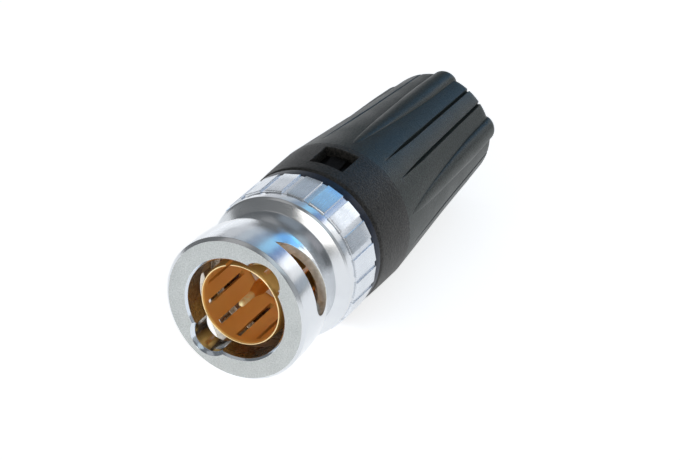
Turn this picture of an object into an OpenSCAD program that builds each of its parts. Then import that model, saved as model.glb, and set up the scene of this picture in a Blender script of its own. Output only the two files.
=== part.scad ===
// Coaxial bayonet cable plug with a turning rear grip
// The plug lies along +Y: the mating face is at y = 0 and looks along -Y,
// the cable leaves at the rear. +Z is up. All sizes are in millimetres.

/* [Coupling nut] */
// Radius of the mating bore that takes the jack
mate_r = 4.9; // [4.88:0.01:4.95]
// Radius of the blasted front face
face_r = 6.79; // [6.6:0.01:6.9]
// Radius of the front land
land_r = 7.08; // [7.0:0.01:7.15]
// Length of the front land
land_l = 2.45; // [2.3:0.05:2.6]
// Smallest radius of the waist, at the foot of the flange
waist_r = 6.05; // [6.02:0.01:6.3]
// Radius of the rear flange
flange_r = 7.17; // [7.05:0.01:7.3]
// Radius of the channel that the jack's lugs run in
lug_channel_r = 5.85; // [5.7:0.01:5.88]
// Angle of the first entry groove about the axis
entry_deg = 52.3; // [45:0.1:60]
// Width of each entry groove
entry_w = 3.4; // [3.0:0.1:3.6]
// Angle of the middle of the first locking window
window_deg = 31; // [28:0.5:34]
// Radius of the rounded detent end of the locking window
detent_r = 1.2; // [1.1:0.05:1.3]

/* [Grip] */
// Number of flats around the grip ring
flats = 20; // [16:1:24]
// Radius over the corners of the grip ring
grip_r = 7.37; // [7.34:0.01:7.45]
// Radius at the floor of the grooves between the flats
grip_groove_r = 7.2; // [7.18:0.01:7.22]
// Width of those grooves, as an angle
groove_deg = 4.4; // [3:0.2:6]
// Length of the grip ring
grip_l = 3.8; // [3.4:0.1:4.0]
// Largest radius of the plastic collar
collar_r = 7.4; // [7.3:0.01:7.43]
// Angle of the first latch window about the axis
latch_deg = 84.6; // [80:0.1:90]
// Width of a latch window, as an angle
latch_w_deg = 27; // [20:1:30]

/* [Boot] */
// Overall length of the plug
total_l = 42.3; // [41:0.1:43]
// Number of ribs along the boot
ribs = 5; // [3:1:6]
// Angle of the first rib about the axis
rib_deg = 11.3; // [0:0.1:20]
// Radius of the hole for the cable
cable_r = 3.6; // [3.3:0.05:3.8]
// Depth of the fine grooves beside the ribs
groove_d = 0.3; // [0.2:0.05:0.4]

/* [Contacts] */
// Outside radius of the slotted outer contact
outer_r = 4.07; // [4.03:0.01:4.08]
// Wall of the slotted outer contact
outer_wall = 0.3; // [0.25:0.01:0.32]
// Number of narrow slots in the outer contact
slots = 11; // [8:1:12]
// Width of the narrow slots
slot_w = 0.45; // [0.3:0.05:0.5]
// Angle of the open seam of the rolled outer contact
seam_deg = 107; // [95:1:120]
// Radius of the centre contact pin
pin_r = 0.675; // [0.66:0.005:0.69]
// Radius of the slender tip of the centre contact
tip_r = 0.31; // [0.28:0.01:0.4]

/* [Spring] */
// Travel of the nut against the wave washers
travel = 0.8; // [0.5:0.05:0.9]
// Thickness of a wave washer
wave_t = 0.2; // [0.15:0.01:0.22]
// Number of waves around a washer
waves = 3; // [3:1:4]

/* [Hidden] */
$fn = 96;

// run of the outside, front to back
flange_y = 8.6;
grip_y = 9.6;
lip_y = grip_y + grip_l;
collar_y = lip_y + 0.95;
boot_y = 20.2;
// run of the inside
spigot_r = 6.4;
rim_y = 1.02;
body_y = 8.6;
washer_y = 11.6;
spring_y = washer_y - travel - 2 * wave_t - 0.4;
wave_h = (washer_y - spring_y) / 2;
rib_y = 12.0;
ring_y = 13.6;
post_y = 19.0;
journal_r = 4.25;
seat_r = 4.3;
seat_y = 9.4;
e = 0.02;

silver = [0.78, 0.77, 0.74];
gold = [0.86, 0.68, 0.36];
brass = [0.80, 0.74, 0.58];
dark_blue = [0.10, 0.12, 0.16];
brown_black = [0.13, 0.12, 0.11];
green_black = [0.17, 0.20, 0.20];
milk = [0.90, 0.84, 0.80];
steel = [0.66, 0.67, 0.68];
rubber_red = [0.55, 0.25, 0.20];

// a solid of revolution about the plug's axis, from [radius, y] points
module turned(points) { rotate([-90, 0, 0]) rotate_extrude() polygon(points); }

// a plain tube about the plug's axis
module tube(r0, r1, y0, y1) { turned([[r0, y0], [r1, y0], [r1, y1], [r0, y1]]); }

// turns what is drawn towards +X to the angle t about the axis
module at(t) { rotate([0, -t, 0]) children(); }

// a straight bar along the axis, as a full cylinder between two depths
module rod(r0, r1, y0, y1) { translate([0, y0, 0]) rotate([-90, 0, 0]) cylinder(h = y1 - y0, r1 = r0, r2 = r1); }

// points of an arc of an ellipse between two corners of a turned outline
function bend(r0, y0, r1, y1, bulge, n = 8) =
    [for (i = [0:n]) let (u = i / n)
        [r0 + (r1 - r0) * u + bulge * sin(180 * u), y0 + (y1 - y0) * u]];

module coupling_nut() color(silver) {
    waist = bend(land_r - 0.03, land_l, waist_r, 7.7, 0.16);
    foot = bend(waist_r, 7.95, flange_r - 0.07, flange_y - 0.12, -0.05, 5);
    difference() {
        turned(concat(
            [[mate_r + 0.2, 0], [face_r, 0], [land_r, 0.29], [land_r, land_l - 0.04]],
            waist, foot,
            [[flange_r, flange_y], [flange_r, grip_y - 0.06], [flange_r - 0.06, grip_y],
             [spigot_r, grip_y], [spigot_r, 15.6],
             [5.2, 15.6], [5.2, ring_y], [journal_r + 0.05, ring_y],
             [journal_r + 0.05, rib_y], [mate_r, rib_y],
             [mate_r, 6.0], [lug_channel_r, 6.0], [lug_channel_r, land_l], [mate_r, land_l],
             [mate_r, 0.2]]));
        for (side = [0, 180]) {
            // entry groove with a round floor and a countersunk mouth
            at(entry_deg + side) {
                translate([lug_channel_r + 0.1 - entry_w / 2, 0, 0]) {
                    rod(entry_w / 2, entry_w / 2, -1, land_l + 0.2);
                    rod(entry_w / 2 + 0.42, entry_w / 2, -0.02, 0.38);
                }
            }
            // locking window: a long bow that ends in the round detent
            at(window_deg + side) {
                translate([5.2, land_l + detent_r, -2.75]) rotate([0, 90, 0]) cylinder(h = 3, r = detent_r);
                intersection() {
                    translate([5.2, land_l + 2.45 - 6.63, -1.2]) rotate([0, 90, 0]) cylinder(h = 3, r = 6.63);
                    translate([5.2, land_l, -2.75]) cube([3, 3, 7]);
                }
            }
        }
    }
}

module grip_ring() color(silver) {
    pitch = 360 / flats;
    half = groove_deg / 2;
    difference() {
        union() {
            // raised flats with a shallow groove between each two
            intersection() {
                translate([0, grip_y, 0]) rotate([-90, 0, 0]) linear_extrude(height = grip_l)
                    polygon([for (k = [0:flats - 1]) let (a = -1 - pitch * k) each [
                        grip_r * [cos(a + half + 0.2), sin(a + half + 0.2)], grip_groove_r * [cos(a + half), sin(a + half)],
                        grip_groove_r * [cos(a - half), sin(a - half)], grip_r * [cos(a - half - 0.2), sin(a - half - 0.2)]]]);
                turned([[0, grip_y + 0.06], [grip_r - 0.12, grip_y + 0.06], [grip_r, grip_y + 0.16],
                        [grip_r, lip_y - 0.12], [grip_r - 0.12, lip_y], [0, lip_y]]);
            }
            rod(flange_r, flange_r, grip_y, lip_y);
        }
        rod(spigot_r + e, spigot_r + e, grip_y - 1, lip_y + 1);
    }
}

module lip_ring() color(dark_blue)
    turned([[spigot_r + e, lip_y], [7.2, lip_y], [7.3, lip_y + 0.12],
            [7.3, collar_y - 0.12], [7.18, collar_y], [spigot_r + e, collar_y]]);

module collar() color(brown_black) difference() {
    turned([[spigot_r + e, collar_y], [7.05, collar_y], [7.2, collar_y + 0.06], [7.3, collar_y + 0.25],
            [collar_r, 17.5], [collar_r, boot_y], [spigot_r + e, boot_y]]);
    for (side = [0, 180])
        at(latch_deg + side) intersection() {
            translate([5, 16.2, -4]) cube([4, 3.25, 8]);
            for (m = [0, 1]) mirror([0, 0, m])
                at(latch_w_deg / 2 - 45) translate([0, 15, 0]) cube([9, 6, 9 * tan(45)]);
        }
}

module latch_sleeve() color(brown_black) {
    tube(5.5, spigot_r - e, 15.62, 24);
    for (side = [0, 180])
        at(latch_deg + side) intersection() {
            turned([[6.2, 17.0], [6.45, 17.0], [6.75, 18.7], [6.75, 19.0], [6.2, 19.0]]);
            translate([5, 16, -0.8]) cube([4, 4, 1.6]);
        }
}

// radius of the boot's body at a depth y, with its rear edge rounded off
function body_r(y) =
    y < 23.5 ? 7.38 - max(0, y - boot_y) * 0.08 :
    y < 31 ? 7.116 - (y - 23.5) * 0.0888 :
    6.45 - (y - 31) * 0.0755;
function edge_loss(y) =
    let (d = min(1.14, max(0, y - total_l + 1.2))) 1.2 - sqrt(1.44 - d * d);

// how far the boot's skin stands off that body, t degrees from a rib
function ramp(y, y0, y1) = min(1, max(0, (y - y0) / (y1 - y0)));
function rib_h(t, y) =
    let (w = 4 + 6.5 * ramp(y, 21.4, total_l)) 0.52 * ramp(y, 21.4, 41) * sqrt(max(0, 1 - pow(t / w, 2)));
function groove_h(t, y) = abs(t - (180 / ribs - 8.8)) < 0.1 ? groove_d * ramp(y, 21.4, 25) : 0;
function skin_r(t, y) = body_r(y) + rib_h(t, y) - groove_h(t, y) - edge_loss(y);

module boot_skin() {
    half = 180 / ribs;
    right = [0, 4, 7.5, 10.6, 18, half - 11, half - 8.8, half - 6.6];
    turn = concat(right, [half], [for (i = [len(right) - 1:-1:1]) 2 * half - right[i]]);
    m = len(turn);
    n = ribs * m;
    depth = [boot_y - 1, 21.4, 25, 31, 36, total_l - 1.2, total_l - 0.6, total_l - 0.25, total_l - 0.06, total_l + 1];
    last = len(depth) - 1;
    polyhedron(
        points = [for (y = depth) for (i = [0:n - 1])
            let (t = turn[i % m], a = rib_deg + 2 * half * floor(i / m) + t,
                 r = skin_r(min(t, 2 * half - t), y))
            [r * cos(a), y, r * sin(a)]],
        faces = concat(
            [[for (i = [0:n - 1]) i]], [[for (i = [n - 1:-1:0]) last * n + i]],
            [for (j = [0:last - 1]) for (i = [0:n - 1]) let (k = (i + 1) % n) each
                [[j * n + i, (j + 1) * n + i, (j + 1) * n + k], [j * n + i, (j + 1) * n + k, j * n + k]]]));
}

module boot() color(green_black) difference() {
    boot_skin();
    // flat ends, seat of the latch sleeve, room for the ferrule, hole for the cable
    turned([[0, boot_y - 2], [9, boot_y - 2], [9, boot_y], [spigot_r, boot_y], [spigot_r, 24], [5.2, 24],
            [5.0, 28], [4.3, 34], [cable_r, 36], [cable_r, total_l - 0.4], [cable_r + 0.4, total_l],
            [9, total_l], [9, total_l + 2], [0, total_l + 2]]);
}

module thrust_washer() color(steel) tube(journal_r + 0.04, mate_r - 0.05, washer_y, rib_y);

// a ring of spring sheet bent in waves, between the depths y0 and y0 + h
module wave_washer(y0, h) {
    n = 72; ri = journal_r + 0.08; ro = 4.78; half = (h - wave_t) / 2;
    lift = [for (i = [0:n - 1]) y0 + half * (1 + sin(waves * i * 360 / n))];
    polyhedron(
        points = [for (i = [0:n - 1]) let (a = i * 360 / n) each [
            [ri * cos(a), lift[i], ri * sin(a)], [ro * cos(a), lift[i], ro * sin(a)],
            [ro * cos(a), lift[i] + wave_t, ro * sin(a)], [ri * cos(a), lift[i] + wave_t, ri * sin(a)]]],
        faces = [for (i = [0:n - 1]) let (j = (i + 1) % n) each [
            [4 * i + 1, 4 * i + 0, 4 * j + 0], [4 * i + 1, 4 * j + 0, 4 * j + 1],
            [4 * i + 2, 4 * i + 1, 4 * j + 1], [4 * i + 2, 4 * j + 1, 4 * j + 2],
            [4 * i + 3, 4 * i + 2, 4 * j + 2], [4 * i + 3, 4 * j + 2, 4 * j + 3],
            [4 * i + 0, 4 * i + 3, 4 * j + 3], [4 * i + 0, 4 * j + 3, 4 * j + 0]]]);
}
module wave_washer_front() color(steel) wave_washer(spring_y + 0.01, wave_h - 0.03);
module wave_washer_rear() color(steel) wave_washer(spring_y + wave_h + 0.01, wave_h - 0.03);

module contact_body() color(brass) difference() {
    turned([[0, body_y], [4.75, body_y], [4.85, body_y + 0.1], [4.85, spring_y],
            [journal_r, spring_y], [journal_r, ring_y], [3.85, ring_y], [3.85, ring_y + 0.6],
            [journal_r, ring_y + 0.6], [journal_r, post_y - 0.2], [journal_r - 0.2, post_y],
            [2.95, post_y], [2.95, 28], [2.75, 28.2], [0, 28.2]]);
    rod(seat_r + 0.005, seat_r + 0.005, body_y - 1, seat_y);
    rod(3.25, 3.25, seat_y - 0.1, 18);
    rod(2.35, 2.35, 17.9, 29);
    // shallow rings that hold the braid
    for (y = [20.4:0.8:27]) tube(2.8, 3.2, y, y + 0.35);
}

module outer_contact() color(gold) difference() {
    inner = outer_r - outer_wall;
    turned([[inner + 0.07, rim_y], [outer_r - 0.1, rim_y], [outer_r, rim_y + 0.12], [outer_r, body_y - 0.6],
            [seat_r, body_y - 0.6], [seat_r, seat_y], [inner, seat_y], [inner, rim_y + 0.12]]);
    // the seam of the rolled sleeve, then the narrow slots
    at(seam_deg) translate([3, rim_y - 1, -0.25]) cube([2, 8.2 - rim_y + 1, 0.5]);
    for (k = [0:slots - 1]) at(seam_deg + 26.5 + 346.5 / slots * k)
        translate([3, 1.8, -slot_w / 2]) cube([2, 6.4, slot_w]);
}

module gasket() color(rubber_red)
    turned([[seat_r + 0.01, body_y - 0.6], [4.78, body_y - 0.6], [4.84, body_y - 0.5], [4.84, body_y], [seat_r + 0.01, body_y]]);

module front_insulator() color(milk) difference() {
    turned([[0, 9.1], [3.7, 9.1], [3.75, 9.15], [3.75, seat_y - 0.02], [3.2, seat_y - 0.02], [3.2, 12.4], [0, 12.4]]);
    rod(0.505, 0.505, 8, 13);
}

module rear_insulator() color(milk) difference() {
    tube(0, 3.2, 12.4, 18);
    rod(1.02, 1.02, 12, 19);
}

module centre_contact() color(gold) difference() {
    turned([[0, 1.1], [tip_r * 0.55, 1.16], [tip_r, 1.42], [tip_r, 3.0], [0.5, 3.6], [pin_r, 4.6], [pin_r, 9.0], [0.5, 9.0], [0.5, 12.4],
            [1.0, 12.4], [1.0, 18.6], [0, 18.6]]);
    rod(0.5, 0.5, 14.6, 19);
}

module snap_ring() color(steel) difference() {
    tube(3.86, 4.8, ring_y, ring_y + 0.5);
    translate([0, ring_y - 1, -0.9]) cube([6, 3, 1.8]);
}

module crimp_ferrule() color(silver)
    turned([[3.25, post_y], [3.65, post_y], [3.7, post_y + 0.05], [3.7, 31.9], [3.65, 32], [3.35, 32], [3.25, 31.8]]);

coupling_nut();
grip_ring();
lip_ring();
collar();
latch_sleeve();
boot();
thrust_washer();
wave_washer_front();
wave_washer_rear();
contact_body();
outer_contact();
gasket();
front_insulator();
rear_insulator();
centre_contact();
snap_ring();
crimp_ferrule();
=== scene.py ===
import math
import random
import bpy
import bmesh
from mathutils import Matrix, Vector


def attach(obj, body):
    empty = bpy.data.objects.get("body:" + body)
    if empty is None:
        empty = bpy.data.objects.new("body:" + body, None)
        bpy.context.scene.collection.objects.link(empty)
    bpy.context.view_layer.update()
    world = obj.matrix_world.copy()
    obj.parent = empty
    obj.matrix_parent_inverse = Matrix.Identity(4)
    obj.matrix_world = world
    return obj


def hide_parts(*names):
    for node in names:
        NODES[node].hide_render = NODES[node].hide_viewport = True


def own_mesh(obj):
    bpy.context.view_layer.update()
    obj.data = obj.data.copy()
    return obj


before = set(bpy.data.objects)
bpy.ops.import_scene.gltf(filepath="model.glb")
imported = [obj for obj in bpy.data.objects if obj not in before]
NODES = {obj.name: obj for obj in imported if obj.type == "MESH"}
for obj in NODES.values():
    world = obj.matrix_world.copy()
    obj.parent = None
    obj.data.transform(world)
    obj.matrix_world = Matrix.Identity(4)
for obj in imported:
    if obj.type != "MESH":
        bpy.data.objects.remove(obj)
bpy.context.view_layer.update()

random.seed(7)
MM = 0.001
sc = bpy.context.scene

# ------------------------------------------------------------------ camera
AZ, EL = math.radians(27.56), math.radians(28.35)
back = Vector((math.sin(AZ) * math.cos(EL), -math.cos(AZ) * math.cos(EL), math.sin(EL)))
cam_data = bpy.data.cameras.new("camera")
cam_data.sensor_width = 36.0
cam_data.lens = 166.7
cam_data.clip_start = 0.01
cam_data.clip_end = 20.0
cam_data.dof.use_dof = False
cam = bpy.data.objects.new("camera", cam_data)
sc.collection.objects.link(cam)
cam.location = (0.12077, -0.21111, 0.13923)
cam.rotation_euler = back.to_track_quat("Z", "Y").to_euler()
sc.camera = cam
sc.view_settings.view_transform = "Standard"
sc.view_settings.look = "None"


# ------------------------------------------------------------------ mesh helpers (all in mm, scaled once at the end)
def pol(r, t, y):
    a = math.radians(t)
    return (r * math.cos(a), y, r * math.sin(a))


def rounded(pts, seg=4):
    """A closed outline of (r, y, fillet) with its corners rounded."""
    out = []
    n = len(pts)
    for i, p in enumerate(pts):
        f = p[2] if len(p) > 2 else 0.0
        P = Vector(p[:2])
        if f <= 0:
            out.append(tuple(P))
            continue
        A, B = Vector(pts[i - 1][:2]), Vector(pts[(i + 1) % n][:2])
        u, v = (A - P), (B - P)
        lu, lv = u.length, v.length
        u.normalize(); v.normalize()
        ang = math.acos(max(-1, min(1, u.dot(v))))
        if ang > 3.10 or ang < 0.02:
            out.append(tuple(P))
            continue
        t = min(f / math.tan(ang / 2), 0.48 * lu, 0.48 * lv)
        r = t * math.tan(ang / 2)
        mid = (u + v).normalized()
        C = P + mid * (r / math.sin(ang / 2))
        a0, a1 = P + u * t - C, P + v * t - C
        s = math.atan2(a0.x * a1.y - a0.y * a1.x, a0.dot(a1))
        for k in range(seg + 1):
            w = s * k / seg
            c, d = math.cos(w), math.sin(w)
            out.append((C.x + a0.x * c - a0.y * d, C.y + a0.x * d + a0.y * c))
    return out


def smooth_line(pts, per=6):
    """Catmull-Rom through (r, y) points."""
    out = []
    for i in range(len(pts) - 1):
        p0 = Vector(pts[max(i - 1, 0)]); p1 = Vector(pts[i]); p2 = Vector(pts[i + 1]); p3 = Vector(pts[min(i + 2, len(pts) - 1)])
        for k in range(per):
            t = k / per
            q = 0.5 * ((2 * p1) + (-p0 + p2) * t + (2 * p0 - 5 * p1 + 4 * p2 - p3) * t * t + (-p0 + 3 * p1 - 3 * p2 + p3) * t ** 3)
            out.append(tuple(q))
    out.append(tuple(pts[-1]))
    return out


def make(name, verts, faces, mats=(), face_mats=None):
    me = bpy.data.meshes.new(name)
    me.from_pydata([tuple(v) for v in verts], [], [tuple(f) for f in faces])
    me.validate()
    for m in mats:
        me.materials.append(m.m)
    if face_mats:
        me.polygons.foreach_set("material_index", face_mats)
    ob = bpy.data.objects.new(name, me)
    sc.collection.objects.link(ob)
    bm = bmesh.new(); bm.from_mesh(me)
    bmesh.ops.recalc_face_normals(bm, faces=bm.faces)
    bm.to_mesh(me); bm.free()
    return ob


def revolve(name, outline, n=256, warp=None, mats=(), mat_of=None):
    """Turns a closed (r, y) outline about the axis. warp(theta, r, y, i) may move each point."""
    verts, faces, fm = [], [], []
    m = len(outline)
    for j in range(n):
        t = 360.0 * j / n
        for i, (r, y) in enumerate(outline):
            tt = t
            if warp:
                w = warp(t, r, y, i)
                r, y = w[0], w[1]
                if len(w) > 2:
                    tt = w[2]
            verts.append(pol(r, tt, y))
    for j in range(n):
        k = (j + 1) % n
        for i in range(m):
            l = (i + 1) % m
            faces.append((j * m + i, k * m + i, k * m + l, j * m + l))
            fm.append(mat_of(i, j) if mat_of else 0)
    return make(name, verts, faces, mats, fm)


def boolean(ob, cutters, op="DIFFERENCE"):
    for c in cutters:
        md = ob.modifiers.new("cut", "BOOLEAN")
        md.operation = op
        md.solver = "EXACT"
        md.object = c
    dg = bpy.context.evaluated_depsgraph_get()
    me = bpy.data.meshes.new_from_object(ob.evaluated_get(dg), preserve_all_data_layers=True, depsgraph=dg)
    ob.modifiers.clear()
    old = ob.data
    ob.data = me
    bpy.data.meshes.remove(old)
    for c in cutters:
        bpy.data.objects.remove(c, do_unlink=True)
    return ob


def loft_cutter(name, rings):
    """A closed solid through rings of points, each ring with the same count."""
    n = len(rings[0])
    verts = [p for ring in rings for p in ring]
    faces = [tuple(range(n - 1, -1, -1)), tuple((len(rings) - 1) * n + i for i in range(n))]
    for j in range(len(rings) - 1):
        for i in range(n):
            k = (i + 1) % n
            faces.append((j * n + i, j * n + k, (j + 1) * n + k, (j + 1) * n + i))
    return make(name, verts, faces)


def done(ob, body, node=None, angle=32, mat=None, extra=()):
    """Shades, scales to metres and hands the piece to the frame."""
    me = ob.data
    if mat is not None:
        me.materials.clear()
        me.materials.append(mat.m)
        for p in me.polygons:
            p.material_index = 0
    bm = bmesh.new(); bm.from_mesh(me)
    bmesh.ops.remove_doubles(bm, verts=bm.verts, dist=2e-5)
    bmesh.ops.dissolve_degenerate(bm, dist=1e-5, edges=bm.edges)
    lim = math.radians(angle)
    for f in bm.faces:
        f.smooth = True
    for e in bm.edges:
        e.smooth = len(e.link_faces) == 2 and e.calc_face_angle(0.0) < lim
    for v in bm.verts:
        v.co *= MM
    bm.to_mesh(me); bm.free()
    me.update()
    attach(ob, body)
    if node:
        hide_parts(node, *extra)
    return ob


# ------------------------------------------------------------------ materials
class Mat:
    def __init__(self, name, color, metallic=0.0, rough=0.5, **kw):
        self.m = bpy.data.materials.new(name)
        self.m.use_nodes = True
        self.nt = self.m.node_tree
        self.b = next(x for x in self.nt.nodes if x.type == "BSDF_PRINCIPLED")
        self.b.inputs["Base Color"].default_value = (*color, 1)
        self.b.inputs["Metallic"].default_value = metallic
        self.b.inputs["Roughness"].default_value = rough
        for k, v in kw.items():
            self.b.inputs[k].default_value = v
        self.tc = self.nt.nodes.new("ShaderNodeTexCoord")
        self.bump_last = None

    def n(self, kind, **kw):
        x = self.nt.nodes.new(kind)
        for k, v in kw.items():
            if k in x.inputs:
                x.inputs[k].default_value = v
            else:
                setattr(x, k, v)
        return x

    def link(self, a, b):
        self.nt.links.new(a, b)

    def coords(self, scale=(1, 1, 1)):
        mp = self.n("ShaderNodeMapping")
        mp.inputs["Scale"].default_value = scale
        self.link(self.tc.outputs["Object"], mp.inputs["Vector"])
        return mp.outputs["Vector"]

    def noise(self, scale, detail=3.0, rough=0.55, vec=None, stretch=(1, 1, 1)):
        x = self.n("ShaderNodeTexNoise")
        x.inputs["Scale"].default_value = scale
        x.inputs["Detail"].default_value = detail
        x.inputs["Roughness"].default_value = rough
        self.link(vec if vec is not None else self.coords(stretch), x.inputs["Vector"])
        return x.outputs["Fac"]

    def turned(self):
        """Coordinates (depth along the axis, radius, 0): lathe lines follow them."""
        sep = self.n("ShaderNodeSeparateXYZ")
        self.link(self.tc.outputs["Object"], sep.inputs[0])
        xx = self.n("ShaderNodeMath", operation="MULTIPLY"); self.link(sep.outputs["X"], xx.inputs[0]); self.link(sep.outputs["X"], xx.inputs[1])
        zz = self.n("ShaderNodeMath", operation="MULTIPLY_ADD"); self.link(sep.outputs["Z"], zz.inputs[0]); self.link(sep.outputs["Z"], zz.inputs[1]); self.link(xx.outputs[0], zz.inputs[2])
        rr = self.n("ShaderNodeMath", operation="SQRT"); self.link(zz.outputs[0], rr.inputs[0])
        an = self.n("ShaderNodeMath", operation="ARCTAN2"); self.link(sep.outputs["Z"], an.inputs[0]); self.link(sep.outputs["X"], an.inputs[1])
        return sep.outputs["Y"], rr.outputs[0], an.outputs[0]

    def ramp(self, fac, lo, hi, c0, c1):
        x = self.n("ShaderNodeValToRGB")
        x.color_ramp.elements[0].position = lo
        x.color_ramp.elements[1].position = hi
        x.color_ramp.elements[0].color = (*c0, 1) if len(c0) == 3 else c0
        x.color_ramp.elements[1].color = (*c1, 1) if len(c1) == 3 else c1
        self.link(fac, x.inputs["Fac"])
        return x.outputs["Color"]

    def color(self, fac, lo, hi, c0, c1):
        self.link(self.ramp(fac, lo, hi, c0, c1), self.b.inputs["Base Color"])

    def roughness(self, fac, lo, hi, r0, r1):
        x = self.n("ShaderNodeMapRange")
        x.inputs["From Min"].default_value = lo
        x.inputs["From Max"].default_value = hi
        x.inputs["To Min"].default_value = r0
        x.inputs["To Max"].default_value = r1
        self.link(fac, x.inputs["Value"])
        self.link(x.outputs["Result"], self.b.inputs["Roughness"])

    def bump(self, fac, strength, dist):
        x = self.n("ShaderNodeBump")
        x.inputs["Strength"].default_value = strength
        x.inputs["Distance"].default_value = dist
        self.link(fac, x.inputs["Height"])
        if self.bump_last is not None:
            self.link(self.bump_last, x.inputs["Normal"])
        self.bump_last = x.outputs["Normal"]
        self.link(self.bump_last, self.b.inputs["Normal"])


def lathe_metal(name, color, rough, line=0.25, dist=0.00001, spread=0.06):
    m = Mat(name, color, 1.0, rough)
    y, r, a = m.turned()
    comb = m.n("ShaderNodeCombineXYZ")
    ys = m.n("ShaderNodeMath", operation="MULTIPLY"); m.link(y, ys.inputs[0]); ys.inputs[1].default_value = 9000.0
    rs = m.n("ShaderNodeMath", operation="MULTIPLY"); m.link(r, rs.inputs[0]); rs.inputs[1].default_value = 9000.0
    aa = m.n("ShaderNodeMath", operation="MULTIPLY"); m.link(a, aa.inputs[0]); aa.inputs[1].default_value = 0.6
    m.link(ys.outputs[0], comb.inputs[0]); m.link(rs.outputs[0], comb.inputs[1]); m.link(aa.outputs[0], comb.inputs[2])
    lines = m.noise(1.0, 3.0, 0.6, vec=comb.outputs[0])
    blot = m.noise(420.0, 4.0, 0.6)
    fine = m.noise(5200.0, 2.0, 0.5)
    m.roughness(blot, 0.3, 0.7, rough - spread, rough + spread)
    m.color(blot, 0.25, 0.75, tuple(c * 0.94 for c in color), tuple(min(1, c * 1.03) for c in color))
    m.bump(lines, line, dist)
    m.bump(fine, 0.05, 0.000003)
    return m


nickel = lathe_metal("satin_nickel", (0.70, 0.72, 0.745), 0.20, line=0.20, spread=0.04)
nickel.b.inputs["Anisotropic"].default_value = 0.5
nickel.b.inputs["Anisotropic Rotation"].default_value = 0.0
nickel_tan = nickel.n("ShaderNodeTangent", direction_type="RADIAL", axis="Y")
nickel.link(nickel_tan.outputs["Tangent"], nickel.b.inputs["Tangent"])

# bore and lug channel: rough plating whose dark brown colour is painted shade inside the nut
bore_painted_shade = Mat("nickel_bore_painted_shade", (0.44, 0.38, 0.33), 1.0, 0.38)
h1 = bore_painted_shade.noise(3800.0, 3.0, 0.7)
bore_painted_shade.color(h1, 0.35, 0.65, (0.26, 0.215, 0.175), (0.46, 0.41, 0.36))
bore_painted_shade.roughness(bore_painted_shade.noise(700.0, 3.0), 0.3, 0.7, 0.22, 0.36)
bore_painted_shade.bump(h1, 0.5, 0.00004)

# entry groove walls: polished plating with a bluish cast that is a painted reflection of the blue light
groove = lathe_metal("groove_nickel_blue_reflection", (0.66, 0.72, 0.79), 0.14)

wall = Mat("milled_wall", (0.78, 0.73, 0.66), 1.0, 0.5)
w1 = wall.noise(1.0, 3.0, 0.6, stretch=(2600, 2600, 2600))
wall.color(w1, 0.35, 0.65, (0.70, 0.65, 0.57), (0.88, 0.83, 0.77))
wall.roughness(wall.noise(700.0, 3.0), 0.3, 0.7, 0.44, 0.56)
wall.bump(w1, 0.4, 0.00003)

blast = Mat("blasted_nickel", (0.66, 0.68, 0.68), 1.0, 0.62)
f1 = blast.noise(7000.0, 2.0, 0.6)
f2 = blast.noise(900.0, 4.0, 0.6)
blast.color(f1, 0.3, 0.7, (0.53, 0.56, 0.56), (0.71, 0.735, 0.735))
blast.roughness(f2, 0.3, 0.7, 0.56, 0.68)
blast.bump(f1, 0.55, 0.00003)

# grip flats: grey plating with a bluish cast that is a painted reflection of the blue light
milled = Mat("milled_nickel_blue_reflection", (0.78, 0.79, 0.81), 1.0, 0.28)
g1 = milled.noise(1.0, 3.0, 0.6, stretch=(7000, 900, 7000))
milled.roughness(g1, 0.3, 0.7, 0.25, 0.31)
milled.bump(g1, 0.02, 0.000005)
milled.color(milled.noise(600.0, 3.0), 0.3, 0.7, (0.65, 0.68, 0.72), (0.72, 0.75, 0.79))

gold = lathe_metal("gold_plate", (1.0, 0.56, 0.155), 0.36, line=0.15)
gold.b.inputs["Metallic"].default_value = 0.6
# front rim of the contact: a smoother gold whose lighter colour is a painted highlight where the rim catches the light
gold_rim_painted_highlight = lathe_metal("gold_rim_painted_highlight", (1.0, 0.76, 0.42), 0.2, line=0.1)
pin_gold = lathe_metal("pin_gold", (1.0, 0.66, 0.28), 0.30, line=0.2)
# pin front: lighter, paler gold that is a painted highlight; the noise adds pale painted glints
pin_tip_painted_highlight = Mat("pin_tip_gold_painted_highlight", (1.0, 0.80, 0.42), 0.40, 0.30)
t1 = pin_tip_painted_highlight.noise(2600.0, 3.0, 0.6)
pin_tip_painted_highlight.color(t1, 0.3, 0.7, (1.0, 0.70, 0.28), (1.0, 0.94, 0.60))
pin_tip_painted_highlight.roughness(t1, 0.3, 0.7, 0.36, 0.5)
pin_tip_painted_highlight.bump(t1, 0.3, 0.00002)


def plastic(name, c0, c1, rough, grain, grain_dist, blot=300.0, spec=0.5, **kw):
    m = Mat(name, c1, 0.0, rough, **{"Specular IOR Level": spec}, **kw)
    g = m.noise(grain, 1.0, 0.5)
    b = m.noise(blot, 4.0, 0.6)
    mixc = m.n("ShaderNodeMath", operation="MULTIPLY_ADD")
    m.link(g, mixc.inputs[0]); mixc.inputs[1].default_value = 0.8
    half = m.n("ShaderNodeMath", operation="MULTIPLY"); m.link(b, half.inputs[0]); half.inputs[1].default_value = 0.2
    m.link(half.outputs[0], mixc.inputs[2])
    m.color(mixc.outputs[0], 0.38, 0.62, c0, c1)
    m.roughness(b, 0.3, 0.7, rough - 0.05, rough + 0.05)
    m.bump(g, 0.6, grain_dist)
    return m


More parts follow.
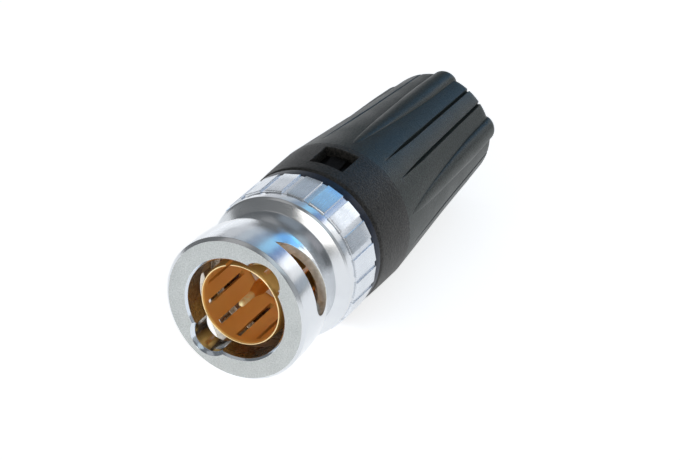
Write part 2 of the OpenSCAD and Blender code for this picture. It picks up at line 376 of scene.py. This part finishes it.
collar_mat = plastic("collar_plastic", (0.002, 0.003, 0.002), (0.034, 0.031, 0.028), 0.50, 6200.0, 0.00008, spec=0.42)
boot_mat = plastic("boot_plastic", (0.003, 0.006, 0.005), (0.022, 0.033, 0.028), 0.44, 6500.0, 0.00005, spec=0.42)
lip_mat = plastic("lip_plastic", (0.003, 0.007, 0.020), (0.008, 0.017, 0.042), 0.34, 4200.0, 0.000012, spec=0.22)
# latch sleeve: black plastic, made darker than the collar so it paints the shade inside the windows
latch_painted_shade = plastic("latch_plastic", (0.0012, 0.0012, 0.0012), (0.006, 0.005, 0.005), 0.5, 4200.0, 0.00003, spec=0.12)
gasket_mat = plastic("gasket_rubber", (0.10, 0.035, 0.02), (0.16, 0.06, 0.035), 0.6, 4200.0, 0.00002)
steel = lathe_metal("spring_steel", (0.55, 0.55, 0.55), 0.3)
brass = lathe_metal("plated_brass", (0.70, 0.66, 0.56), 0.3)

ins = Mat("milky_insulator", (0.90, 0.80, 0.76), 0.0, 0.35, **{"Subsurface Weight": 0.5, "Subsurface Scale": 0.001})
ins.b.inputs["Subsurface Radius"].default_value = (1.0, 0.7, 0.5)
i1 = ins.noise(900.0, 3.0)
ins.color(i1, 0.3, 0.7, (0.86, 0.75, 0.71), (0.94, 0.86, 0.83))
ins.roughness(i1, 0.3, 0.7, 0.3, 0.42)
ins.bump(ins.noise(5000.0, 2.0), 0.2, 0.00001)

# ------------------------------------------------------------------ coupling nut
NECK = smooth_line([(7.08, 1.10), (7.08, 1.80), (7.062, 2.50), (6.985, 3.5), (6.885, 4.25), (6.75, 4.9), (6.60, 5.4), (6.37, 6.1), (6.18, 6.8), (6.08, 7.35), (6.05, 7.75)], 5)


def nut_r(y):
    if y <= 1.1:
        return 7.08
    for (r0, y0), (r1, y1) in zip(NECK, NECK[1:]):
        if y0 <= y <= y1:
            return r0 + (r1 - r0) * (y - y0) / max(1e-9, y1 - y0)
    return NECK[-1][0]


nut_pts = rounded(
    [(5.10, 0, 0.03), (6.79, 0, 0.03), (7.08, 0.29, 0.05)]
    + [(r, y, 0) for r, y in NECK]
    + [(6.05, 7.92, 0.22), (7.00, 8.44, 0.05), (7.17, 8.62, 0.07), (7.17, 9.56, 0.04), (7.12, 9.60, 0), (6.40, 9.60, 0.02),
       (6.40, 15.6, 0.1), (5.2, 15.6, 0.1), (5.2, 13.6, 0.05), (4.30, 13.6, 0.05), (4.30, 12.0, 0.05), (4.9, 12.0, 0.05),
       (4.9, 6.0, 0.08), (5.85, 6.0, 0.15), (5.85, 2.45, 0.04), (4.9, 2.45, 0.05), (4.9, 0.2, 0.04)], 4)
nut = revolve("coupling_nut_body", nut_pts, 320, mats=(nickel, bore_painted_shade, blast, wall, groove))

cut = []
for side in (0, 180):
    # entry groove: a round channel with a countersunk mouth
    ce, w = 4.25, 1.70
    rings = []
    for y, grow in ((-0.3, 0.62), (0.0, 0.33), (0.03, 0.29), (0.30, 0.03), (0.36, 0.0), (2.8, 0.0)):
        ring = []
        for k in range(48):
            a = 2 * math.pi * k / 48
            x, z = ce + (w + grow) * math.cos(a), (w + grow) * math.sin(a)
            t = math.radians(52.3 + side)
            ring.append((x * math.cos(t) - z * math.sin(t), y, x * math.sin(t) + z * math.cos(t)))
        rings.append(ring)
    cut.append(loft_cutter("g", rings))
    # locking window
    rear = smooth_line([(4.05, 2.47), (3.50, 3.15), (2.96, 3.60), (2.2, 4.02), (1.34, 4.38), (0.4, 4.64), (-0.5, 4.81), (-1.34, 4.91),
                        (-2.1, 4.90), (-2.81, 4.76), (-3.35, 4.48), (-3.74, 4.08), (-3.93, 3.62), (-3.86, 3.15), (-3.62, 2.75), (-3.2, 2.50), (-2.85, 2.454)], 3)
    outline = rear + [(-2.85 + 6.9 * k / 12, 2.454) for k in range(1, 12)]
    n = len(outline)
    # outward normals of the outline in the (u, y) plane
    nor = []
    for i in range(n):
        a, b = Vector(outline[i - 1]), Vector(outline[(i + 1) % n])
        c = Vector(outline[i])
        d, e = (c - a).normalized(), (b - c).normalized()
        nor.append(Vector((d.y + e.y, -d.x - e.x)).normalized())
    cx = sum(p[0] for p in outline) / n; cy = sum(p[1] for p in outline) / n
    if sum(nor[i].dot(Vector((outline[i][0] - cx, outline[i][1] - cy))) for i in range(n)) < 0:
        nor = [-v for v in nor]
    rings = []
    for lift, grow in ((5.0, 0.0), (-0.07, 0.0), (0.0, 0.03), (0.03, 0.08), (0.3, 0.30), (8.6, 0.30)):
        ring = []
        for i, (u, y) in enumerate(outline):
            uu, yy = u + nor[i].x * grow, y + nor[i].y * grow
            x = lift if lift > 1 else math.sqrt(max(0.1, nut_r(yy) ** 2 - uu ** 2)) + lift
            t = math.radians(31 + side)
            ring.append((x * math.cos(t) - uu * math.sin(t), yy, x * math.sin(t) + uu * math.cos(t)))
        rings.append(ring)
    cut.append(loft_cutter("w", rings))
boolean(nut, cut)
for p in nut.data.polygons:
    c = p.center
    r = math.hypot(c.x, c.z)
    rad = (p.normal.x * c.x + p.normal.z * c.z) / max(r, 1e-6)
    if c.y < 0.02 and r > 5.15 and abs(p.normal.y) > 0.9:
        p.material_index = 2
    elif 2.40 < c.y < 4.97 and 5.0 < r < 6.99 and rad < 0.5 and abs(c.y - 2.45) + abs(r - 5.85) > 0.02:
        p.material_index = 3
    elif 4.93 < r < 6.4 and 0.01 < c.y < 2.44:
        p.material_index = 4
    # faces inside the nut get the dark bore colour, which is painted shade
    elif r < 6.0 and 0.30 < c.y < 12:
        p.material_index = 1
done(nut, "shell", "coupling_nut")

# the cuts leave long thin faces on the turned outside: give those corners the normals of the turned shape
me = nut.data
slope = lambda y: (nut_r(y + 0.02) - nut_r(y - 0.02)) / 0.04
normals = [Vector(c.vector) for c in me.corner_normals]
for p in me.polygons:
    c = p.center / MM
    r = math.hypot(c.x, c.z)
    if not 0.40 < c.y < 7.66 or abs(r - nut_r(c.y)) > 0.03:
        continue
    if (p.normal.x * c.x + p.normal.z * c.z) / r < 0.85:
        continue
    for li in p.loop_indices:
        co = me.vertices[me.loops[li].vertex_index].co / MM
        if not 0.36 < co.y < 7.70:
            continue
        rr = math.hypot(co.x, co.z)
        g = slope(co.y)
        v = Vector((co.x / rr, -g, co.z / rr))
        normals[li] = v.normalized()
me.normals_split_custom_set([tuple(v) for v in normals])

# ------------------------------------------------------------------ grip ring: raised flats with shallow grooves between
G_R, G_F = 7.37, 7.20


def ring_angles():
    out = []
    for k in range(20):
        s = 1 + 18 * k
        out += [(s - 2.15, G_F), (s - 0.8, G_F), (s + 0.8, G_F), (s + 2.15, G_F)]
        lo, hi = s + 2.25, s + 18 - 2.25
        edge = 0.035
        mid = (lo + hi) / 2
        flat = lambda t: (G_R * math.cos(math.radians((hi - lo) / 2))) / math.cos(math.radians(t - mid))
        out += [(lo, flat(lo) - 0.03), (lo + 0.25, flat(lo + 0.25) - 0.004), (lo + 0.8, flat(lo + 0.8))]
        for q in range(1, 6):
            t = lo + (hi - lo) * q / 6
            out.append((t, flat(t)))
        out += [(hi - 0.8, flat(hi - 0.8)), (hi - 0.25, flat(hi - 0.25) - 0.004), (hi, flat(hi) - 0.03)]
    return out


RA = ring_angles()
ys = [(9.60, "foot"), (9.63, "wall"), (9.66, "c1"), (9.69, "c2"), (9.74, "top"), (10.8, "top"), (12.2, "top"), (13.28, "top"), (13.36, "c2"), (13.40, "c1")]
verts, faces = [], []
m = len(ys) + 2
for t, r in RA:
    raised = r > 7.25
    col = [(6.42, 9.60)]
    for y, kind in ys:
        if not raised:
            rr = G_F if kind not in ("c1",) or y < 10 else G_F - 0.04
            if kind == "foot":
                rr = G_F - 0.03
        else:
            rr = {"foot": G_F - 0.03, "wall": r - 0.04, "c1": r - 0.02, "c2": r - 0.005, "top": r}[kind]
            if y > 13.38:
                rr = max(G_F - 0.03, r - 0.12)
            elif y > 13.3:
                rr = r - 0.02
        col.append((rr, y))
    col.append((6.42, 13.40))
    verts += [pol(rr, t, y) for rr, y in col]
n = len(RA)
for j in range(n):
    k = (j + 1) % n
    for i in range(m):
        l = (i + 1) % m
        faces.append((j * m + i, k * m + i, k * m + l, j * m + l))
grip = make("grip_ring_body", verts, faces)
done(grip, "shell", "grip_ring", angle=20, mat=milled)

# ------------------------------------------------------------------ dark ring
lip = revolve("lip_ring_body", rounded([(6.42, 13.40, 0), (7.18, 13.40, 0.02), (7.24, 13.44, 0.04), (7.25, 14.38, 0.06), (7.16, 14.45, 0.02), (6.42, 14.45, 0)], 4), 200)
done(lip, "shell", "lip_ring", mat=lip_mat)

# ------------------------------------------------------------------ collar with latch windows
col_pts = rounded([(6.42, 14.45, 0.02), (7.10, 14.45, 0.04), (7.31, 14.85, 0.45), (7.37, 16.5, 0), (7.39, 18.2, 0), (7.395, 20.2, 0.01), (6.42, 20.2, 0.05)], 5)
fine = []
for a, b in zip(col_pts, col_pts[1:] + col_pts[:1]):
    L = math.hypot(b[0] - a[0], b[1] - a[1])
    k = max(1, int(L / 0.5))
    fine += [(a[0] + (b[0] - a[0]) * q / k, a[1] + (b[1] - a[1]) * q / k) for q in range(k)]
collar = revolve("collar_body", fine, 288)
cut = []
for side in (0, 180):
    rings = []
    for r, g in ((5.5, 0.0), (7.30, 0.0), (7.36, 0.015), (7.40, 0.05), (7.9, 0.5)):
        ring = []
        y0, y1 = 16.2 - g, 19.45 + g
        h = 13.5 + math.degrees(g / 7.4)
        N = 10
        for k in range(N + 1):
            ring.append(pol(r, 84.6 + side - h + 2 * h * k / N, y0))
        for k in range(N + 1):
            ring.append(pol(r, 84.6 + side + h - 2 * h * k / N, y1))
        rings.append(ring)
    cut.append(loft_cutter("w", rings))
boolean(collar, cut)
done(collar, "shell", "collar", mat=collar_mat)

# ------------------------------------------------------------------ boot
TOTAL = 42.3


def body_r(y):
    if y < 23.5:
        return 7.40 - max(0, y - 20.2) * 0.085
    if y < 31:
        return 7.12 - (y - 23.5) * 0.0893
    return 6.45 - (y - 31) * 0.0755


def ramp(y, a, b):
    return min(1.0, max(0.0, (y - a) / (b - a)))


def rib_w(y):
    return 10.6 * ramp(y, 21.2, 36.0) ** 0.60 + 0.02


def skin(t, y):
    """Radius of the boot's skin; t in degrees from a rib's crest."""
    w = rib_w(y)
    h = 0.56 * ramp(y, 21.2, 38.0) ** 0.85
    x = abs(t) / w
    rib = h * max(0.0, 1 - x * x) ** 0.62 if x < 1 else 0.0
    gw = 0.3 + 1.35 * ramp(y, 21.6, 27.0)
    gd = 0.30 * ramp(y, 21.6, 25.5)
    d = abs(abs(t) - 27.2) / gw
    gro = gd * (1 - d) if d < 1 else 0.0
    e = max(0.0, y - (TOTAL - 1.25))
    edge = 1.25 - math.sqrt(max(0.0, 1.25 ** 2 - min(e, 1.2499) ** 2))
    return body_r(y) + rib - gro - edge * 0.9


by = [20.2, 20.5, 20.9, 21.2, 21.35, 21.5, 21.7, 21.95, 22.3, 22.9, 23.5, 24.2, 25, 26, 27, 28.2, 29.4, 30.6, 31.8, 33, 34.2, 35.4, 36.6, 37.8, 39, 40, 40.6, 41.05, 41.3, 41.5, 41.7, 41.85, 41.98, 42.08, 42.16, 42.22, 42.27, 42.30]
RIBX = [0, 0.12, 0.25, 0.38, 0.5, 0.62, 0.72, 0.81, 0.88, 0.93, 0.965, 0.985, 0.997, 1.0]
FLAT = [0.15, 0.35, 0.6, 0.85]
GROOVE = [-1.0, -0.9, -0.5, -0.15, 0.0, 0.15, 0.5, 0.9, 1.0]


def col_t(kind, v, y):
    """Angle of a column of points at a depth: the columns run along the ribs' edges and the grooves."""
    w = rib_w(y)
    gw = 0.3 + 1.35 * ramp(y, 21.6, 27.0)
    if kind == 0:
        return v * w
    if kind == 1:
        return w + 0.05 + (27.2 - gw - w - 0.1) * v
    if kind == 2:
        return 27.2 + v * gw
    return 27.2 + gw + (36 - 27.2 - gw) * v


half_cols = [(0, v) for v in RIBX[1:]] + [(1, v) for v in FLAT] + [(2, v) for v in GROOVE] + [(3, 0.3), (3, 0.65)]
inner = [(4.05, 42.30), (3.70, 41.95), (3.6, 41.8), (3.6, 36.0), (4.3, 34.0), (5.0, 28.0), (5.2, 24.0), (6.4, 24.0), (6.4, 20.2)]
verts, faces = [], []
m = len(by) + len(inner)
cols = []
for k in range(5):
    cols += [(11.3 + 72 * k, 0, 0.0, 1)] + [(11.3 + 72 * k, kd, v, 1) for kd, v in half_cols] + [(11.3 + 72 * k, 3, 1.0, 1)]
    cols += [(11.3 + 72 * (k + 1), kd, v, -1) for kd, v in reversed(half_cols)]
for base, kd, v, sg in cols:
    for i, y in enumerate(by):
        t = col_t(kd, v, y)
        verts.append(pol(skin(t, y), base + sg * t, y))
    t = col_t(kd, v, 42.3)
    verts += [pol(r, base + sg * t, y) for r, y in inner[:4]]
    verts += [pol(r, base + sg * col_t(kd, v, y), y) for r, y in inner[4:]]
n = len(cols)
for j in range(n):
    k = (j + 1) % n
    for i in range(m):
        l = (i + 1) % m
        faces.append((j * m + i, k * m + i, k * m + l, j * m + l))
boot = make("boot_body", verts, faces)
done(boot, "shell", "boot", angle=30, mat=boot_mat)

# ------------------------------------------------------------------ latch sleeve seen in the windows
sl = revolve("latch_sleeve_body", rounded([(5.5, 15.62, 0.05), (6.38, 15.62, 0.08), (6.38, 24.0, 0.05), (5.5, 24.0, 0.05)], 3), 160)
add = []
for side in (0, 180):
    rings = []
    for u in (-0.8, -0.74, 0.74, 0.8):
        s = 0.05 if abs(u) > 0.76 else 0.0
        prof = [(6.2, 17.02 + s), (6.45 - s, 17.02 + s), (6.73 - s, 18.6), (6.76 - s, 18.8), (6.72 - s, 19.0 - s), (6.2, 19.0 - s)]
        tt = math.radians(84.6 + side)
        rings.append([(r * math.cos(tt) - u * math.sin(tt), y, r * math.sin(tt) + u * math.cos(tt)) for r, y in prof])
    add.append(loft_cutter("l", rings))
boolean(sl, add, "UNION")
done(sl, "shell", "latch_sleeve", mat=latch_painted_shade)

# ------------------------------------------------------------------ outer contact: rolled slotted sleeve
oc_pts = rounded([(3.87, 1.02, 0.05), (3.98, 1.02, 0.06), (4.07, 1.28, 0.1), (4.07, 8.0, 0), (4.30, 8.0, 0.03), (4.30, 9.4, 0.03), (3.77, 9.4, 0.03), (3.77, 1.22, 0.1)], 5)
oc = revolve("outer_contact_body", oc_pts, 288, mats=(gold, gold_rim_painted_highlight))
SEAM = 107.0
cut = []


def bar(t0, w, y0, y1, r0=3.3, r1=4.6):
    rings = []
    for r in (r0, r1):
        ring = []
        for u, y in ((-w / 2, y0), (w / 2, y0), (w / 2, y1), (-w / 2, y1)):
            a = math.radians(t0)
            ring.append((r * math.cos(a) - u * math.sin(a), y, r * math.sin(a) + u * math.cos(a)))
        rings.append(ring)
    return loft_cutter("b", rings)


cut.append(bar(SEAM, 0.5, 0.5, 8.2))
for k in range(11):
    cut.append(bar(SEAM + 26.5 + 31.5 * k, 0.45, 1.8, 8.2))
boolean(oc, cut)
for p in oc.data.polygons:
    c = p.center
    # the rim faces get the lighter gold, a painted highlight
    if c.y < 1.10:
        p.material_index = 1
done(oc, "core", "outer_contact")

# ------------------------------------------------------------------ centre contact
cc = revolve("centre_contact_body", [(0.0001, 1.10), (0.12, 1.12), (0.22, 1.19), (0.29, 1.31), (0.31, 1.46), (0.31, 3.0), (0.34, 3.1), (0.63, 4.45), (0.665, 4.55), (0.675, 4.7), (0.675, 9.0),
             (0.5, 9.0), (0.5, 12.4), (1.0, 12.4), (1.0, 18.5), (0.95, 18.6), (0.55, 18.6), (0.5, 18.5), (0.5, 14.6), (0.0001, 14.6)], 64, mats=(pin_gold, pin_tip_painted_highlight))
for p in cc.data.polygons:
    # the pin's front gets the lighter gold, a painted highlight
    if p.center.y < 3.2:
        p.material_index = 1
done(cc, "core", "centre_contact", angle=40)

# ------------------------------------------------------------------ insulators, gasket
fi = revolve("front_insulator_body", rounded([(0.505, 9.1, 0.02), (3.70, 9.1, 0.06), (3.75, 9.2, 0.02), (3.75, 9.38, 0.01), (3.2, 9.38, 0.01), (3.2, 12.4, 0.02), (0.505, 12.4, 0.02)], 3), 128)
done(fi, "core", "front_insulator", mat=ins)
gk = revolve("gasket_ring", rounded([(4.31, 8.0, 0.1), (4.84, 8.0, 0.12), (4.84, 8.6, 0.02), (4.31, 8.6, 0.02)], 4), 128)
done(gk, "core", "gasket", mat=gasket_mat)

# ------------------------------------------------------------------ wave washers: built in their wavy rest shape, each with a mesh of its own; the real ones flatten as the nut is pulled
for name, node, y0 in (("front_wave_spring", "wave_washer_front", 10.01), ("rear_wave_spring", "wave_washer_rear", 10.81)):
    n, ri, ro, tk, half = 144, 4.33, 4.78, 0.2, 0.285
    verts, faces = [], []
    for j in range(n):
        t = 360.0 * j / n
        y = y0 + half * (1 + math.sin(math.radians(3 * t)))
        verts += [pol(ri, t, y), pol(ro, t, y), pol(ro, t, y + tk), pol(ri, t, y + tk)]
    for j in range(n):
        k = (j + 1) % n
        for i in range(4):
            l = (i + 1) % 4
            faces.append((j * 4 + i, k * 4 + i, k * 4 + l, j * 4 + l))
    ww = make(name, verts, faces)
    done(ww, "core", node, mat=steel)
    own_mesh(ww)

# ------------------------------------------------------------------ CAD nodes that stay, with their materials
for name, mt in (("contact_body", brass), ("rear_insulator", ins), ("snap_ring", steel), ("thrust_washer", steel),
                 ("crimp_ferrule", brass)):
    ob = NODES[name]
    for s in ob.material_slots:
        s.material = mt.m if isinstance(mt, Mat) else mt

# ------------------------------------------------------------------ floor and light
FLOOR = -0.00748
bm = bmesh.new()
bmesh.ops.create_grid(bm, x_segments=8, y_segments=8, size=1.2)
me = bpy.data.meshes.new("floor")
bm.to_mesh(me); bm.free()
floor = bpy.data.objects.new("floor", me)
floor.location = (0, 0, FLOOR)
sc.collection.objects.link(floor)
fm = Mat("floor_paint", (0.85, 0.85, 0.85), 0.0, 0.9, **{"Emission Color": (1, 1, 1, 1), "Emission Strength": 0.72})
fm.color(fm.noise(6.0, 3.0), 0.3, 0.7, (0.84, 0.84, 0.84), (0.86, 0.86, 0.86))
me.materials.append(fm.m)

world = bpy.data.worlds.new("world")
sc.world = world
world.use_nodes = True
bg = world.node_tree.nodes["Background"]
bg.inputs["Color"].default_value = (0.95, 0.98, 1.0, 1)
bg.inputs["Strength"].default_value = 0.20


def panel(name, toward, up, size_x, size_y, color, dist=0.6):
    """A soft light panel in a direction from the plug; color is the brightness it shows in a reflection."""
    top = max(color)
    d = bpy.data.lights.new(name, "AREA")
    d.shape = "RECTANGLE"
    d.size, d.size_y = size_x, size_y
    d.energy = top * math.pi * size_x * size_y
    d.color = tuple(c / top for c in color)
    o = bpy.data.objects.new(name, d)
    z = Vector(toward).normalized()
    y = Vector(up) - z * Vector(up).dot(z)
    y.normalize()
    x = y.cross(z)
    m = Matrix((x, y, z)).transposed().to_4x4()
    m.translation = Vector((0, 0.012, 0)) + z * dist
    o.matrix_world = m
    o.visible_camera = False
    sc.collection.objects.link(o)
    return o


def fan(rho, phi, drho, dphi, color, dist=0.6):
    """A panel behind the plug, rho degrees off its axis and phi degrees round it from +X."""
    r, p = math.radians(rho), math.radians(phi)
    v = (math.sin(r) * math.cos(p), math.cos(r), math.sin(r) * math.sin(p))
    up = (math.cos(r) * math.cos(p), -math.sin(r), math.cos(r) * math.sin(p))
    return panel("fan_%d_%d" % (rho, phi), v, up, 2 * dist * math.sin(r) * math.tan(math.radians(dphi / 2)),
                 2 * dist * math.tan(math.radians(drho / 2)), color)


# a curved sweep behind the plug, from the right over the top to the left
fan(40, 13, 15, 18, (0.25, 0.30, 0.36))
fan(40, 31, 15, 18, (0.95, 0.95, 0.95))
fan(40, 49, 15, 18, (1.50, 1.52, 1.55))
fan(40, 67, 15, 18, (0.01, 0.12, 0.42))
fan(40, 85, 15, 18, (0.24, 0.66, 1.00))
fan(40, 103, 15, 18, (0.14, 0.22, 0.34))
fan(40, 121, 15, 18, (0.44, 0.50, 0.56))
fan(40, 142, 15, 22, (0.56, 0.57, 0.60))
fan(37, 170, 18, 30, (0.95, 0.97, 1.00))
fan(25, 39, 15, 24, (1.70, 1.68, 1.66))
fan(25, 63, 15, 22, (0.10, 0.62, 1.25))
fan(25, 87, 15, 24, (0.04, 0.40, 0.95))
fan(11, 25, 12, 44, (2.20, 2.20, 2.20))
fan(11, 80, 12, 50, (0.25, 1.10, 2.00))
# soft boxes round the front
panel("top", (0, 0, 1), (0, 1, 0), 0.40, 0.40, (0.22, 0.26, 0.30))
panel("top_right", (0.8, 0, 0.8), (0, 0, 1), 0.35, 0.35, (0.35, 0.33, 0.34))
panel("front_left_high", (-0.41, -0.55, 0.76), (0, 0, 1), 0.30, 0.30, (0.30, 0.29, 0.28))
panel("front_right_high", (0.5, -0.6, 0.76), (0, 0, 1), 0.30, 0.30, (0.50, 0.58, 0.62))
panel("front", (0.15, -1.0, 0.30), (0, 0, 1), 0.34, 0.26, (2.20, 2.12, 2.00))
panel("right_front", (0.85, -0.5, 0.25), (0, 0, 1), 0.30, 0.30, (0.22, 0.23, 0.24))
